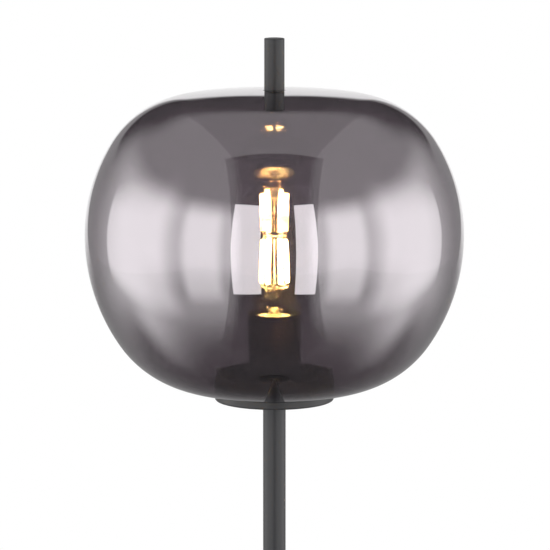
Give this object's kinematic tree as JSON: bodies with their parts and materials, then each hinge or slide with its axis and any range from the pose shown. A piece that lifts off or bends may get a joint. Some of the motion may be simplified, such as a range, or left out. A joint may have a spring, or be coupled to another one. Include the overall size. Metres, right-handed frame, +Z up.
{
  "type": "globe floor lamp",
  "caption": "Floor lamp: a flattened smoked glass globe with a slim handle tube on top, on a thin dark pole with a round weighted base; the glass lifts off and the bulb unscrews.",
  "frame": {"origin": "middle of the underside of the base, on the floor", "axes": "+Z up along the pole; the cord inlet faces +Y, away from the viewer of the picture, and +X is to that viewer's right"},
  "size_m": [0.3, 0.3, 1.6],
  "materials": {
    "dark_lacquer": "satin dark grey lacquer with a fine grain",
    "black_lacquer": "gloss black lacquer",
    "cast_weight": "cast cement, rough",
    "foam_pad": "matt foam rubber",
    "steel": "zinc plated",
    "spring_steel": "blackened spring steel",
    "brass": "turned brass",
    "black_plastic": "moulded, fine grain",
    "white_plastic": "moulded",
    "steatite": "unglazed",
    "wire_brown": "smooth insulation",
    "wire_blue": "smooth insulation",
    "smoked_glass": "smoke tinted, half mirrored",
    "black_rubber": "smooth",
    "clear_glass": "clear",
    "bulb_metal": "nickel plated",
    "dark_glass": "black vitreous insulator",
    "bulb_deck": "heat resistant, off-white",
    "filament": "glowing phosphor coat"
  },
  "bodies": {
    "stand": {"base_cover": "dark_lacquer", "floor_pad": "foam_pad", "base_weight": "cast_weight", "base_nipple": "steel", "base_washer": "steel", "base_nut": "steel", "cord_bushing": "black_plastic", "cord_clamp": "black_plastic", "cord_clamp_screws": "steel", "terminal_block": "white_plastic", "terminal_screws": "steel", "pole_lower": "dark_lacquer", "pole_middle": "dark_lacquer", "pole_upper": "dark_lacquer", "pole_bush_1": "brass", "pole_bush_2": "brass", "pole_bush_3": "brass", "pole_bush_4": "brass", "pole_bush_5": "brass", "pole_bush_6": "brass", "joint_nipple_lower": "steel", "joint_nipple_upper": "steel", "holder_plate": "dark_lacquer", "gallery_cup": "black_lacquer", "spring_clip_1": "spring_steel", "spring_clip_2": "spring_steel", "spring_clip_3": "spring_steel", "spring_clip_4": "spring_steel", "top_nipple": "steel", "lampholder_nut": "steel", "lampholder_foot": "black_lacquer", "lampholder_sleeve": "black_lacquer", "lampholder_insulator": "steatite", "thread_shell": "brass", "lampholder_liner": "black_plastic", "centre_contact": "brass", "contact_screws": "steel", "wire_live": "wire_brown", "wire_neutral": "wire_blue"},
    "globe": {"globe_shade": "smoked_glass", "neck_ring": "black_rubber", "finial_outer_washer": "black_rubber", "finial_tube": "dark_lacquer", "finial_cap": "dark_lacquer", "finial_bush": "brass", "finial_inner_washer": "black_rubber", "finial_nut": "black_lacquer", "finial_stud": "steel"},
    "bulb_tip": {"bulb_centre_contact": "bulb_metal"},
    "bulb": {"bulb_glass": "clear_glass", "bulb_insulator": "dark_glass", "bulb_cap": "bulb_metal", "bulb_deck": "bulb_deck", "bulb_stem": "clear_glass", "bulb_filaments": "filament", "filament_wires": "bulb_metal"}
  },
  "joints": [
    {"name": "globe_lift", "type": "slide", "parent": "stand", "child": "globe", "axis": [0, 0, 1], "range_m": [0, 0.16], "deforming": ["spring_clip_1", "spring_clip_2", "spring_clip_3", "spring_clip_4"]},
    {"name": "bulb_lift", "type": "slide", "parent": "stand", "child": "bulb_tip", "axis": [0, 0, 1], "range_m": [0, 0.0182]},
    {"name": "bulb_turn", "type": "hinge", "parent": "bulb_tip", "child": "bulb", "pos_m": [0, 0, 1.38], "axis": [0, 0, 1], "range_deg": [0, 1800]}
  ],
  "couplings": [
    {"joint": "bulb_lift", "follows": "bulb_turn", "m_per_rad": 0.00057757}
  ]
}
